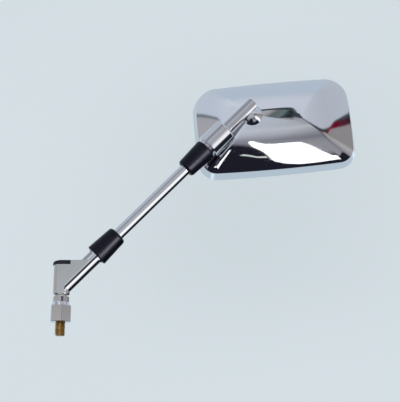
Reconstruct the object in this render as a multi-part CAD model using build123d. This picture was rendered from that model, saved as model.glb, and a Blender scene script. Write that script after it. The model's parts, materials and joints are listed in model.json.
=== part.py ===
from build123d import *
import os
from math import cos, radians, sin

# Motorcycle mirror, left side. Millimetres, +Z up along the mounting stud.
# The origin is on the stud's axis, at the hex's underside, where the handlebar perch seats.
# The arm lies in the XZ plane, and the glass looks along +Y.

# Shared clearances
RUNNING = 0.05
SEAT_GAP = 0.1
SLOT_GAP = 0.3

# Mounting stud and hex
STUD_R = 5.0
STUD_LENGTH = 13.5
STUD_CHAMFER = 1.0
SHANK_R = 4.5
SHANK_LENGTH = 12.0
PIN_R = 3.0
PIN_CHAMFER = 0.5
HEX_FLATS = 19.0
HEX_HEIGHT = 16.0
HEX_TURN = 43.0
HEX_CHAMFER = 0.8
CONE_BASE_R = 9.2
CONE_HEIGHT = 3.4
COLLAR_R = 8.1
COLLAR_HEIGHT = 5.6
COLLAR_ROUND = 0.6

# Swivel stack on the stud's pin
FRICTION_WASHER_T = 1.0
FRICTION_WASHER_R = 5.8
SWIVEL_FLOOR_RISE = 15.0
THRUST_WASHER_T = 1.2
SPRING_R = 6.0
SPRING_T = 0.7
SPRING_RISE = 0.5
SPRING_COUNT = 2
SWIVEL_NUT_FLATS = 10.0
SWIVEL_NUT_T = 5.0
PIN_STAND_OUT = 1.5

# Base casting and its cap
POST_R = 8.4
POST_BOTTOM_ROUND = 2.4
COUNTERBORE_R = 6.5
CASTING_HEIGHT = 34.6
CASTING_TOP_ROUND = 0.8
CAP_OVERHANG = 0.8
CAP_END_X = 9.0
CAP_T = 4.2
CAP_ROUND = 3.0
CAP_SIDE_ROUND = 0.5
CAP_SPIGOT_LENGTH = 4.0
CAP_SPIGOT_WALL = 1.2
ARM_ANGLE = 45.5
ARM_ROOT_RISE = 6.3
TUBE_R = 7.5
TUBE_END_S = 46.0
TUBE_EDGE_ROUND = 0.5
FLANGE_R = 8.6
FLANGE_SHOWN = 1.5
FLANGE_IN_BOOT = 2.0
ROD_SOCKET_DEPTH = 24.0

# Rod with its threaded end and its ball end, and the lock nut
ROD_R = 6.0
ROD_THREAD_R = 4.0
ROD_THREAD_SHOWN = 2.0
ROD_NECK_R = 3.2
ROD_NECK_LENGTH = 17.0
ROD_NECK_TAPER = 4.0
BALL_R = 6.5
BALL_S = 214.0
LOCK_NUT_FLATS = 13.0
LOCK_NUT_T = 6.5

# Rubber boots, the same moulding at both ends of the rod
BOOT_LENGTH = 30.6
BOOT_WIDE_R = 11.6
BOOT_NARROW_R = 9.8
BOOT_WALL = 1.8
BOOT_MOUTH_LENGTH = 4.5
BOOT_WIDE_ROUND = 1.4
BOOT_NARROW_ROUND = 2.6
BOOT_LIP_LENGTH = 4.0

# Ball joint in the neck
NECK_MOUTH_S = 207.0
NECK_BORE_R = 9.6
FRONT_SEAT_REACH = 4.5
SEAT_SPLIT = 0.4
REAR_SEAT_LENGTH = 8.0
BALL_SPRING_T = 0.8
BALL_SPRING_RISE = 0.5
BALL_SPRING_BORE_R = 5.0
GLAND_FLANGE_R = 10.6
GLAND_FLANGE_T = 2.6
GLAND_NOSE_LENGTH = 3.0
GLAND_MOUTH_R = 7.2
GLAND_THROAT_R = 5.2

# Neck socket on the back of the head
BARREL_R = 12.8
BARREL_LENGTH = 26.5
BARREL_SHOULDER_ROUND = 1.6
BARREL_MOUTH_ROUND = 0.6
FINGER_LENGTH = 41.5
FINGER_HALF_W = 6.3
FINGER_FRONT = 6.2
FINGER_BACK = 9.0
FINGER_CROWN_R = 13.0
FINGER_EDGE_ROUND = 1.8
FINGER_TIP_ROUND = 4.5
FINGER_NOSE_ROUND = 3.0

# Head: rim, flared skirt and hip-ridged dome
HEAD_ACROSS = 66.0
HEAD_UP = 27.6
RIM_Y = 38.0
HEAD_TURN = 5.5
RIM_HALF_W = 85.0
RIM_HALF_H = 52.0
EDGE_BOW = 2.0
CORNER_TOP_R = 24.0
CORNER_BOTTOM_R = 18.0
SKIRT_DEPTH = 13.0
SKIRT_FLARE = 3.5
DOME_RISE = 22.0
DOME_POWER = 2.2
RIDGE_HALF = 24.0
HIP_POWER = 2.0
DOME_STEPS = (0.0, 0.15, 0.35, 0.6, 0.9)
SHELL_WALL = 1.0

# Glass, gasket and foam
RIM_LIP = 0.6
GASKET_DEPTH = 5.0
GASKET_OVERLAP = 1.9
GASKET_LIP_T = 1.0
GASKET_WALL = 2.0
GLASS_T = 2.5
PAD_T = 2.5

# Clamp block and the neck's screws
BLOCK_FACE_W = 20.0
BLOCK_R = 8.0
SCREW_S = (240.0, 260.0)
SCREW_R = 2.0
SCREW_HEAD_R = 4.0
SCREW_HEAD_T = 2.6
SCREW_REACH_W = 40.5

# Places worked out from the sizes above
COLLAR_TOP_Z = HEX_HEIGHT + CONE_HEIGHT + COLLAR_HEIGHT
POST_BOTTOM_Z = COLLAR_TOP_Z + FRICTION_WASHER_T
SWIVEL_FLOOR_Z = POST_BOTTOM_Z + SWIVEL_FLOOR_RISE
CASTING_TOP_Z = POST_BOTTOM_Z + CASTING_HEIGHT
CAP_SEAT_Z = CASTING_TOP_Z - CAP_T
ARM_ROOT_Z = POST_BOTTOM_Z + ARM_ROOT_RISE
SPRINGS_Z = SWIVEL_FLOOR_Z + THRUST_WASHER_T
SPRING_PITCH = SPRING_T + SPRING_RISE
SWIVEL_NUT_Z = SPRINGS_Z + SPRING_COUNT * SPRING_PITCH
PIN_TOP_Z = SWIVEL_NUT_Z + SWIVEL_NUT_T + PIN_STAND_OUT
FLANGE_END_S = TUBE_END_S + FLANGE_SHOWN + FLANGE_IN_BOOT
LOCK_NUT_S = FLANGE_END_S + RUNNING
LOWER_BOOT_S = TUBE_END_S + FLANGE_SHOWN + RUNNING
GLAND_FACE_S = NECK_MOUTH_S - GLAND_FLANGE_T
UPPER_BOOT_S = GLAND_FACE_S - RUNNING
BOOT_BORE_R = FLANGE_R + RUNNING
SEAT_R = NECK_BORE_R - RUNNING
SEAT_BALL_R = BALL_R + RUNNING
FRONT_SEAT_S = BALL_S - FRONT_SEAT_REACH
REAR_SEAT_END_S = BALL_S + SEAT_SPLIT + REAR_SEAT_LENGTH
BORE_FLOOR_S = REAR_SEAT_END_S + BALL_SPRING_T + BALL_SPRING_RISE
BARREL_END_S = NECK_MOUTH_S + BARREL_LENGTH
FINGER_END_S = BARREL_END_S + FINGER_LENGTH
DOME_CREST_W = SKIRT_DEPTH + DOME_RISE
GLASS_W = RIM_LIP + GASKET_LIP_T + RUNNING
PAD_W = GLASS_W + GLASS_T + RUNNING

# Arm plane: Z along the rod towards the head, Y towards the glass
ARM_DIRECTION = Vector(cos(radians(ARM_ANGLE)), 0, sin(radians(ARM_ANGLE)))
ARM = Plane(origin=(0, 0, ARM_ROOT_Z), x_dir=(ARM_DIRECTION.Z, 0, -ARM_DIRECTION.X), z_dir=ARM_DIRECTION)

# Head plane: X along the head's width, Y up its height, Z from the rim towards its back
BALL_CENTRE = ARM.origin + ARM_DIRECTION * BALL_S
HEAD = Plane(
    origin=BALL_CENTRE + Vector(HEAD_ACROSS, RIM_Y, HEAD_UP),
    x_dir=(cos(radians(HEAD_TURN)), 0, sin(radians(HEAD_TURN))),
    z_dir=(0, -1, 0),
)


def turned(points, rounds=()):
    """A solid of revolution about Z, from (radius, height) corners, with some corners rounded."""
    face = make_face(Polyline(*points, close=True))
    for spot, radius in rounds:
        corner = face.vertices().sort_by_distance(Vector(*spot))[0]
        face = fillet(corner, radius)
    return revolve(Plane.XZ * face, Axis.Z)


def hex_bar(flats, height):
    """A hexagonal bar that stands on the XY plane."""
    return extrude(RegularPolygon(flats / 2, 6, major_radius=False), height)


def round_bar(radius, start, end):
    """A plain cylinder along Z between two heights."""
    return Pos(0, 0, start) * Cylinder(radius, end - start, align=(Align.CENTER, Align.CENTER, Align.MIN))


def cone_springs(outer_r, bore_r, thickness, rise, start, count):
    """Disc springs stacked the same way up, each a coned washer."""
    springs = []
    for number in range(count):
        low = start + number * (thickness + rise)
        corners = [
            (bore_r, low + rise),
            (outer_r, low),
            (outer_r, low + thickness),
            (bore_r, low + rise + thickness),
        ]
        springs.append(turned(corners))
    return springs


def on_head(s):
    """Where the arm's axis passes over the head plane, as (across, up)."""
    point = HEAD.to_local_coords(ARM.origin + ARM_DIRECTION * s)
    return point.X, point.Y


# Mount: stud, hex, washers, disc springs and nut
def mount_stud():
    corners = [
        (0, -STUD_LENGTH),
        (STUD_R - STUD_CHAMFER, -STUD_LENGTH),
        (STUD_R, STUD_CHAMFER - STUD_LENGTH),
        (STUD_R, 0),
        (SHANK_R, 0),
        (SHANK_R, SHANK_LENGTH),
        (PIN_R, SHANK_LENGTH),
        (PIN_R, PIN_TOP_Z - PIN_CHAMFER),
        (PIN_R - PIN_CHAMFER, PIN_TOP_Z),
        (0, PIN_TOP_Z),
    ]
    return turned(corners)


def hex_adapter():
    corner_r = HEX_FLATS / 2 / cos(radians(30))
    flat_r = HEX_FLATS / 2
    trimmer = turned(
        [
            (0, 0),
            (flat_r, 0),
            (corner_r, HEX_CHAMFER),
            (corner_r, HEX_HEIGHT - HEX_CHAMFER),
            (flat_r, HEX_HEIGHT),
            (0, HEX_HEIGHT),
        ]
    )
    head = (Rot(0, 0, HEX_TURN) * hex_bar(HEX_FLATS, HEX_HEIGHT)) & trimmer
    collar = turned(
        [
            (0, HEX_HEIGHT),
            (CONE_BASE_R, HEX_HEIGHT),
            (COLLAR_R, HEX_HEIGHT + CONE_HEIGHT),
            (COLLAR_R, COLLAR_TOP_Z),
            (0, COLLAR_TOP_Z),
        ],
        [((COLLAR_R, COLLAR_TOP_Z), COLLAR_ROUND)],
    )
    shank_hole = round_bar(SHANK_R + RUNNING, 0, SHANK_LENGTH)
    pin_hole = round_bar(PIN_R + RUNNING, 0, COLLAR_TOP_Z)
    return head + collar - shank_hole - pin_hole


def washer(outer_r, low, thickness):
    return round_bar(outer_r, low, low + thickness) - round_bar(PIN_R + RUNNING, low, low + thickness)


def swivel_nut():
    nut = Pos(0, 0, SWIVEL_NUT_Z) * hex_bar(SWIVEL_NUT_FLATS, SWIVEL_NUT_T)
    return nut - round_bar(PIN_R + RUNNING, SWIVEL_NUT_Z, PIN_TOP_Z)


# Base: the post, web and tube cast in one, and the cap
def base_casting():
    post = turned(
        [(0, POST_BOTTOM_Z), (POST_R, POST_BOTTOM_Z), (POST_R, CASTING_TOP_Z), (0, CASTING_TOP_Z)],
        [((POST_R, POST_BOTTOM_Z), POST_BOTTOM_ROUND)],
    )
    post &= Box(4 * POST_R, 2 * TUBE_R, 4 * CASTING_TOP_Z)
    tube_top_x = (CASTING_TOP_Z - ARM_ROOT_Z) / ARM_DIRECTION.Z * ARM_DIRECTION.X
    web_corners = [(0, ARM_ROOT_Z), (tube_top_x, CASTING_TOP_Z), (0, CASTING_TOP_Z)]
    web_outline = make_face(Polyline(*web_corners, close=True))
    web = extrude(Plane.XZ * web_outline, TUBE_R, both=True)
    block = post + web
    flat_tops = block.edges().filter_by(Axis.X).group_by(Axis.Z)[-1]
    block = fillet(flat_tops, CASTING_TOP_ROUND)
    tube = ARM * turned(
        [
            (0, 0),
            (TUBE_R, 0),
            (TUBE_R, TUBE_END_S),
            (FLANGE_R, TUBE_END_S),
            (FLANGE_R, FLANGE_END_S),
            (0, FLANGE_END_S),
        ],
        [((FLANGE_R, TUBE_END_S), TUBE_EDGE_ROUND)],
    )
    pin_hole = round_bar(PIN_R + RUNNING, POST_BOTTOM_Z, CASTING_TOP_Z)
    counterbore = round_bar(COUNTERBORE_R, SWIVEL_FLOOR_Z, CASTING_TOP_Z)
    cap_recess = Pos(CAP_END_X + SEAT_GAP, 0, CAP_SEAT_Z) * Box(
        4 * POST_R, 4 * TUBE_R, 2 * CAP_T, align=(Align.MAX, Align.CENTER, Align.MIN)
    )
    rod_socket = ARM * round_bar(ROD_THREAD_R + RUNNING, FLANGE_END_S - ROD_SOCKET_DEPTH, FLANGE_END_S)
    return block + tube - pin_hole - counterbore - cap_recess - rod_socket


def base_cap():
    cap_r = POST_R + CAP_OVERHANG
    corners = [
        (-cap_r, CAP_SEAT_Z),
        (CAP_END_X, CAP_SEAT_Z),
        (CAP_END_X, CASTING_TOP_Z),
        (-cap_r, CASTING_TOP_Z),
    ]
    side = make_face(Polyline(*corners, close=True))
    crown = side.vertices().sort_by_distance(Vector(-cap_r, CASTING_TOP_Z))[0]
    bar = extrude(Plane.XZ * fillet(crown, CAP_ROUND), TUBE_R, both=True)
    bar = fillet(bar.edges().filter_by(Axis.X).group_by(Axis.Z)[-1], CAP_SIDE_ROUND)
    round_end = Circle(cap_r) & Pos(-cap_r / 2, 0) * Rectangle(cap_r, 2 * TUBE_R)
    web_end = Pos(CAP_END_X / 2, 0) * Rectangle(CAP_END_X, 2 * TUBE_R)
    lid = bar & extrude(Pos(0, 0, CAP_SEAT_Z) * (round_end + web_end), CAP_T)
    spigot_r = COUNTERBORE_R - RUNNING
    spigot_z = CAP_SEAT_Z - CAP_SPIGOT_LENGTH
    spigot = round_bar(spigot_r, spigot_z, CAP_SEAT_Z)
    spigot -= round_bar(spigot_r - CAP_SPIGOT_WALL, spigot_z, CAP_SEAT_Z)
    return lid + spigot


# Arm: rod, lock nut and boots
def arm_rod():
    rod_start = FLANGE_END_S - ROD_SOCKET_DEPTH + SEAT_GAP
    body_start = LOCK_NUT_S + LOCK_NUT_T + ROD_THREAD_SHOWN
    neck_start = BALL_S - ROD_NECK_LENGTH
    rod = turned(
        [
            (0, rod_start),
            (ROD_THREAD_R, rod_start),
            (ROD_THREAD_R, body_start),
            (ROD_R, body_start),
            (ROD_R, neck_start - ROD_NECK_TAPER),
            (ROD_NECK_R, neck_start),
            (ROD_NECK_R, BALL_S),
            (0, BALL_S),
        ]
    )
    return ARM * (rod + Pos(0, 0, BALL_S) * Sphere(BALL_R))


def lock_nut():
    nut = hex_bar(LOCK_NUT_FLATS, LOCK_NUT_T) - round_bar(ROD_THREAD_R + RUNNING, 0, LOCK_NUT_T)
    return ARM * Pos(0, 0, LOCK_NUT_S) * nut


def boot():
    """A rubber boot, its wide end on the XY plane and its narrow end up the rod."""
    cavity_end = BOOT_LENGTH - BOOT_MOUTH_LENGTH
    mouth_r = ROD_R + RUNNING
    return turned(
        [
            (BOOT_BORE_R, 0),
            (BOOT_WIDE_R, 0),
            (BOOT_NARROW_R, BOOT_LENGTH),
            (mouth_r, BOOT_LENGTH),
            (mouth_r, cavity_end),
            (BOOT_NARROW_R - BOOT_WALL, cavity_end),
            (BOOT_BORE_R, BOOT_LIP_LENGTH),
        ],
        [((BOOT_WIDE_R, 0), BOOT_WIDE_ROUND), ((BOOT_NARROW_R, BOOT_LENGTH), BOOT_NARROW_ROUND)],
    )


def lower_boot():
    return ARM * Pos(0, 0, LOWER_BOOT_S) * boot()


def upper_boot():
    return ARM * Pos(0, 0, UPPER_BOOT_S) * Rot(180, 0, 0) * boot()


# Ball seats, springs and gland nut
def front_seat():
    ring = round_bar(SEAT_R, FRONT_SEAT_S, BALL_S - SEAT_SPLIT)
    return ARM * (ring - Pos(0, 0, BALL_S) * Sphere(SEAT_BALL_R))


def rear_seat():
    cup = round_bar(SEAT_R, BALL_S + SEAT_SPLIT, REAR_SEAT_END_S)
    return ARM * (cup - Pos(0, 0, BALL_S) * Sphere(SEAT_BALL_R))


def ball_springs():
    spring = cone_springs(SEAT_R, BALL_SPRING_BORE_R, BALL_SPRING_T, BALL_SPRING_RISE, REAR_SEAT_END_S, 1)
    return ARM * spring[0]


def gland_nut():
    nose_s = GLAND_FACE_S - GLAND_NOSE_LENGTH
    nose_r = FLANGE_R
    end_s = FRONT_SEAT_S - RUNNING
    thread_r = NECK_BORE_R - RUNNING
    return ARM * turned(
        [
            (GLAND_MOUTH_R, nose_s),
            (nose_r, nose_s),
            (nose_r, GLAND_FACE_S),
            (GLAND_FLANGE_R, GLAND_FACE_S),
            (GLAND_FLANGE_R, NECK_MOUTH_S),
            (thread_r, NECK_MOUTH_S),
            (thread_r, end_s),
            (GLAND_THROAT_R, end_s),
        ],
        [((GLAND_FLANGE_R, GLAND_FACE_S), TUBE_EDGE_ROUND)],
    )


# Head outlines and the lofts between them
def outline(half_w, half_h, top_r, bottom_r, bow):
    """A rectangle with bowed edges and rounded corners, centred on the head plane's origin."""
    x = half_w - bow
    y = half_h - bow
    edges = [
        ThreePointArc((-x, -y), (0, -half_h), (x, -y)),
        ThreePointArc((x, -y), (half_w, 0), (x, y)),
        ThreePointArc((x, y), (0, half_h), (-x, y)),
        ThreePointArc((-x, y), (-half_w, 0), (-x, -y)),
    ]
    face = make_face(edges)
    face = fillet(face.vertices().group_by(Axis.Y)[-1], top_r)
    return fillet(face.vertices().group_by(Axis.Y)[0], bottom_r)


def skirt_outline(w, inset):
    """The skirt's outline at a depth behind the rim, taken in by an inset."""
    shrink = SKIRT_FLARE * w / SKIRT_DEPTH + inset
    return outline(
        RIM_HALF_W - shrink, RIM_HALF_H - shrink, CORNER_TOP_R - shrink, CORNER_BOTTOM_R - shrink, EDGE_BOW
    )


def skirt_solid(low, high, inset):
    """The skirt's taper between two depths, taken in by an inset, as one solid."""
    front = Pos(0, 0, low) * skirt_outline(low, inset)
    back = Pos(0, 0, high) * skirt_outline(high, inset)
    return loft([front, back], ruled=True)


def dome_solid(inset):
    """The hip-ridged dome behind the skirt, taken in and lowered by an inset, as one solid."""
    half_w = RIM_HALF_W - SKIRT_FLARE
    half_h = RIM_HALF_H - SKIRT_FLARE
    sections = []
    for step in DOME_STEPS:
        left = 1 - step
        height = SKIRT_DEPTH - inset + DOME_RISE * (1 - left**DOME_POWER)
        section = outline(
            RIDGE_HALF + (half_w - RIDGE_HALF) * left - inset,
            half_h * left - inset,
            (CORNER_TOP_R - SKIRT_FLARE) * left,
            (CORNER_BOTTOM_R - SKIRT_FLARE) * left**HIP_POWER,
            EDGE_BOW * left,
        )
        sections.append(Pos(0, 0, height) * section)
    return loft(sections)


def plate(inset, low, thickness):
    """A flat plate with the rim's outline, taken in by an inset."""
    return extrude(Pos(0, 0, low) * skirt_outline(0, inset), thickness)


def screw_holes(radius, low, high):
    """Holes on the neck's screws, along the head plane's Z."""
    holes = []
    for s in SCREW_S:
        across, up = on_head(s)
        holes.append(Pos(across, up, 0) * round_bar(radius, low, high))
    return holes


def finger():
    """Flat-sided bar with a crowned front and a rounded tip, in the arm's frame."""
    length = FINGER_END_S - BORE_FLOOR_S
    depth = FINGER_FRONT + FINGER_BACK
    middle_y = (FINGER_BACK - FINGER_FRONT) / 2
    middle_s = BORE_FLOOR_S + length / 2
    crown = Pos(0, FINGER_CROWN_R - FINGER_FRONT) * Circle(FINGER_CROWN_R)
    section = crown & Pos(0, middle_y) * Rectangle(2 * FINGER_HALF_W, depth)
    section = fillet(section.vertices().sort_by(Axis.Y)[:2], FINGER_EDGE_ROUND)
    plan = Pos(0, middle_s) * Rectangle(2 * FINGER_HALF_W, length)
    plan = fillet(plan.vertices().sort_by(Axis.Y)[-2:], FINGER_TIP_ROUND)
    side = Pos(middle_y, middle_s) * Rectangle(depth, length)
    side = fillet(side.vertices().sort_by_distance(Vector(-FINGER_FRONT, FINGER_END_S))[0], FINGER_NOSE_ROUND)
    bar = Pos(0, 0, BORE_FLOOR_S) * extrude(section, length)
    bar &= extrude(Plane.XZ * plan, depth, both=True)
    bar &= extrude(Plane.YZ * side, FINGER_HALF_W, both=True)
    return bar


# Neck socket: barrel and finger, die-cast in one and hollowed to sit on the dome
def neck_socket():
    barrel = turned(
        [(0, NECK_MOUTH_S), (BARREL_R, NECK_MOUTH_S), (BARREL_R, BARREL_END_S), (0, BARREL_END_S)],
        [
            ((BARREL_R, NECK_MOUTH_S), BARREL_MOUTH_ROUND),
            ((BARREL_R, BARREL_END_S), BARREL_SHOULDER_ROUND),
        ],
    )
    bore = round_bar(NECK_BORE_R, NECK_MOUTH_S, BORE_FLOOR_S)
    neck = ARM * (barrel + finger() - bore)
    neck -= HEAD * dome_solid(-SEAT_GAP)
    for hole in screw_holes(SCREW_R + RUNNING, 0, SCREW_REACH_W + SEAT_GAP):
        neck -= HEAD * hole
    return neck


def clamp_block():
    start_s, end_s = SCREW_S
    across, up = on_head((start_s + end_s) / 2)
    lean = ARM_ANGLE - HEAD_TURN
    slot = Pos(across, up, BLOCK_FACE_W) * Rot(0, 0, lean) * SlotCenterToCenter(end_s - start_s, 2 * BLOCK_R)
    block = extrude(slot, DOME_CREST_W - BLOCK_FACE_W) & dome_solid(SHELL_WALL + SEAT_GAP)
    for hole in screw_holes(SCREW_R + SLOT_GAP, BLOCK_FACE_W, DOME_CREST_W):
        block -= hole
    return HEAD * block


def neck_screws():
    screws = []
    for s in SCREW_S:
        across, up = on_head(s)
        screw = turned(
            [
                (0, BLOCK_FACE_W - SCREW_HEAD_T),
                (SCREW_HEAD_R, BLOCK_FACE_W - SCREW_HEAD_T),
                (SCREW_HEAD_R, BLOCK_FACE_W),
                (SCREW_R, BLOCK_FACE_W),
                (SCREW_R, SCREW_REACH_W),
                (0, SCREW_REACH_W),
            ],
            [((SCREW_HEAD_R, BLOCK_FACE_W - SCREW_HEAD_T), SCREW_HEAD_T / 2)],
        )
        screws.append(HEAD * Pos(across, up, 0) * screw)
    return screws


def shell():
    outside = skirt_solid(0, SKIRT_DEPTH, 0) + dome_solid(0)
    inside = skirt_solid(0, SKIRT_DEPTH - SHELL_WALL, SHELL_WALL) + dome_solid(SHELL_WALL)
    case = outside - inside
    for hole in screw_holes(SCREW_R + SLOT_GAP, SKIRT_DEPTH, DOME_CREST_W + SHELL_WALL):
        case -= hole
    return HEAD * case


# Glass, its gasket and the foam behind it
def glass_inset():
    back_w = RIM_LIP + GASKET_DEPTH
    return SKIRT_FLARE * back_w / SKIRT_DEPTH + SHELL_WALL + SEAT_GAP + GASKET_WALL


def glass_gasket():
    back_w = RIM_LIP + GASKET_DEPTH
    opening = glass_inset() + GASKET_OVERLAP
    ring = skirt_solid(RIM_LIP, back_w, SHELL_WALL + SEAT_GAP)
    ring -= plate(opening, RIM_LIP, GASKET_DEPTH)
    ring -= plate(glass_inset() - RUNNING, GLASS_W - RUNNING, GLASS_T + 2 * RUNNING)
    return HEAD * ring


def glass():
    return HEAD * plate(glass_inset(), GLASS_W, GLASS_T)


def backing_pad():
    return HEAD * plate(glass_inset() + GASKET_OVERLAP + SLOT_GAP, PAD_W, PAD_T)


NODES = {
    "mount_stud": mount_stud(),
    "hex_adapter": hex_adapter(),
    "friction_washer": washer(FRICTION_WASHER_R, COLLAR_TOP_Z, FRICTION_WASHER_T),
    "thrust_washer": washer(SPRING_R, SWIVEL_FLOOR_Z, THRUST_WASHER_T),
    "disc_springs": cone_springs(SPRING_R, PIN_R + RUNNING, SPRING_T, SPRING_RISE, SPRINGS_Z, SPRING_COUNT),
    "swivel_nut": swivel_nut(),
    "base_casting": base_casting(),
    "base_cap": base_cap(),
    "arm_rod": arm_rod(),
    "lock_nut": lock_nut(),
    "lower_boot": lower_boot(),
    "upper_boot": upper_boot(),
    "front_seat": front_seat(),
    "rear_seat": rear_seat(),
    "ball_spring": ball_springs(),
    "gland_nut": gland_nut(),
    "neck_socket": neck_socket(),
    "clamp_block": clamp_block(),
    "neck_screws": neck_screws(),
    "shell": shell(),
    "glass": glass(),
    "glass_gasket": glass_gasket(),
    "backing_pad": backing_pad(),
}

os.makedirs("parts", exist_ok=True)
for name, shape in NODES.items():
    solids = shape if isinstance(shape, list) else [shape]
    pieces = [solid for piece in solids for solid in piece.solids()]
    export_step(Compound(children=pieces) if len(pieces) > 1 else pieces[0], f"parts/{name}.step")
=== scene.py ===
import json
from math import atan2, cos, pi, radians, sin, tau

import bmesh
import bpy
from mathutils import Matrix, Vector


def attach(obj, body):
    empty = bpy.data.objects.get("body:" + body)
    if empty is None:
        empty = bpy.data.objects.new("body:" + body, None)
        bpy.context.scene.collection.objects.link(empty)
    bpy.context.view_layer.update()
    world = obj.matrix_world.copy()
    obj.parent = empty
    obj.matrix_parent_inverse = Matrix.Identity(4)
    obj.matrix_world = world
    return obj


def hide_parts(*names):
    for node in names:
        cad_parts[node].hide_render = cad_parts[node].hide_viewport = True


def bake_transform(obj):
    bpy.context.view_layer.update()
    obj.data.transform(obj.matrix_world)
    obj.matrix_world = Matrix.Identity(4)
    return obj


# Looks of the motorcycle mirror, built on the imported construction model.
# Shapes are modelled in millimetres and placed in metres.

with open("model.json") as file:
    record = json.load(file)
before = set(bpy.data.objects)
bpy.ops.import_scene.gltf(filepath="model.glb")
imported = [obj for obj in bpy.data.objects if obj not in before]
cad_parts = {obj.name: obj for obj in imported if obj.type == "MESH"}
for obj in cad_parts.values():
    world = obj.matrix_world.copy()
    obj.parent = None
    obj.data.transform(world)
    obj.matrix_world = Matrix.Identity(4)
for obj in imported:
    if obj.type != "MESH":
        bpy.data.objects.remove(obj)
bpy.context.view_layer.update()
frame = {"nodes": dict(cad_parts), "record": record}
scene = bpy.context.scene
scene.view_settings.view_transform = "Standard"
MM = 0.001


def plane(origin, x_dir, z_dir):
    """The place of a shape in the shared frame, in millimetres."""
    x = Vector(x_dir).normalized()
    z = Vector(z_dir).normalized()
    turn = Matrix((x, z.cross(x), z)).transposed().to_4x4()
    return Matrix.Translation(origin) @ turn


ARM_ANGLE = radians(45.5)
HEAD_TURN = radians(5.5)
ARM_ROOT = Vector((0, 0, 32.3))
ARM_ALONG = Vector((cos(ARM_ANGLE), 0, sin(ARM_ANGLE)))
BALL_S = 214.0
HEAD_ORIGIN = ARM_ROOT + ARM_ALONG * BALL_S + Vector((66.0, 38.0, 27.6))
STUD_PLACE = Matrix()
ARM_SIDE = Vector((ARM_ALONG.z, 0, -ARM_ALONG.x))
ARM_PLACE = plane(ARM_ROOT, ARM_SIDE, ARM_ALONG)
HEAD_PLACE = plane(HEAD_ORIGIN, (cos(HEAD_TURN), 0, sin(HEAD_TURN)), (0, -1, 0))


# Finishes
def colour(code):
    """An sRGB hex value as linear RGBA."""
    parts = [int(code[i : i + 2], 16) / 255 for i in (1, 3, 5)]
    linear = [p / 12.92 if p <= 0.04045 else ((p + 0.055) / 1.055) ** 2.4 for p in parts]
    return (*linear, 1.0)


def add(tree, kind, inputs=None, **settings):
    """Adds a node, with its settings, and sets or links its inputs."""
    node = tree.nodes.new(kind)
    for name, value in settings.items():
        setattr(node, name, value)
    for name, value in (inputs or {}).items():
        if isinstance(value, bpy.types.NodeSocket):
            tree.links.new(value, node.inputs[name])
        else:
            node.inputs[name].default_value = value
    return node


def stops(ramp, *marks):
    """Gives a colour ramp its marks, each a place and a hex colour."""
    elements = ramp.color_ramp.elements
    while len(elements) < len(marks):
        elements.new(1.0)
    for element, (place, code) in zip(elements, marks):
        element.position = place
        element.color = colour(code)
    return ramp.outputs["Color"]


def new_finish(name):
    material = bpy.data.materials.new(name)
    material.use_nodes = True
    tree = material.node_tree
    shader = tree.nodes["Principled BSDF"]
    place = add(tree, "ShaderNodeTexCoord").outputs["Object"]
    return material, tree, shader, place


def polished_chrome_plate():
    # Buffed steel under bright chrome: a cool near-mirror, a little uneven where the metal was pressed.
    material, tree, shader, place = new_finish("polished_chrome_plate")
    press = add(tree, "ShaderNodeTexNoise", {"Vector": place, "Scale": 1 / (22 * MM), "Detail": 1.0})
    bump = add(
        tree, "ShaderNodeBump", {"Height": press.outputs["Fac"], "Strength": 0.6, "Distance": 0.02 * MM}
    )
    wipe = add(
        tree, "ShaderNodeTexNoise", {"Vector": place, "Scale": 1 / (9 * MM), "Detail": 4.0, "Roughness": 0.6}
    )
    haze = add(
        tree,
        "ShaderNodeMapRange",
        {"Value": wipe.outputs["Fac"], "From Min": 0.35, "From Max": 0.75, "To Min": 0.015, "To Max": 0.05},
    )
    tree.links.new(bump.outputs["Normal"], shader.inputs["Normal"])
    tree.links.new(haze.outputs["Result"], shader.inputs["Roughness"])
    shader.inputs["Base Color"].default_value = colour("#E3E6EA")
    shader.inputs["Metallic"].default_value = 1.0
    return material


def yellow_zinc():
    # Yellow-passivated zinc on a cut thread: a dull gold that drifts from olive to straw.
    material, tree, shader, place = new_finish("yellow_zinc_plate")
    drift = add(tree, "ShaderNodeTexNoise", {"Vector": place, "Scale": 1 / (4 * MM), "Detail": 3.0})
    tint = stops(
        add(tree, "ShaderNodeValToRGB", {"Fac": drift.outputs["Fac"]}),
        (0.3, "#9C8759"),
        (0.5, "#C4A972"),
        (0.7, "#E0C898"),
    )
    grit = add(tree, "ShaderNodeTexNoise", {"Vector": place, "Scale": 1 / (0.6 * MM), "Detail": 2.0})
    bump = add(
        tree, "ShaderNodeBump", {"Height": grit.outputs["Fac"], "Strength": 0.3, "Distance": 0.02 * MM}
    )
    dull = add(tree, "ShaderNodeMapRange", {"Value": drift.outputs["Fac"], "To Min": 0.2, "To Max": 0.36})
    tree.links.new(tint, shader.inputs["Base Color"])
    tree.links.new(bump.outputs["Normal"], shader.inputs["Normal"])
    tree.links.new(dull.outputs["Result"], shader.inputs["Roughness"])
    shader.inputs["Metallic"].default_value = 1.0
    return material


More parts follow.
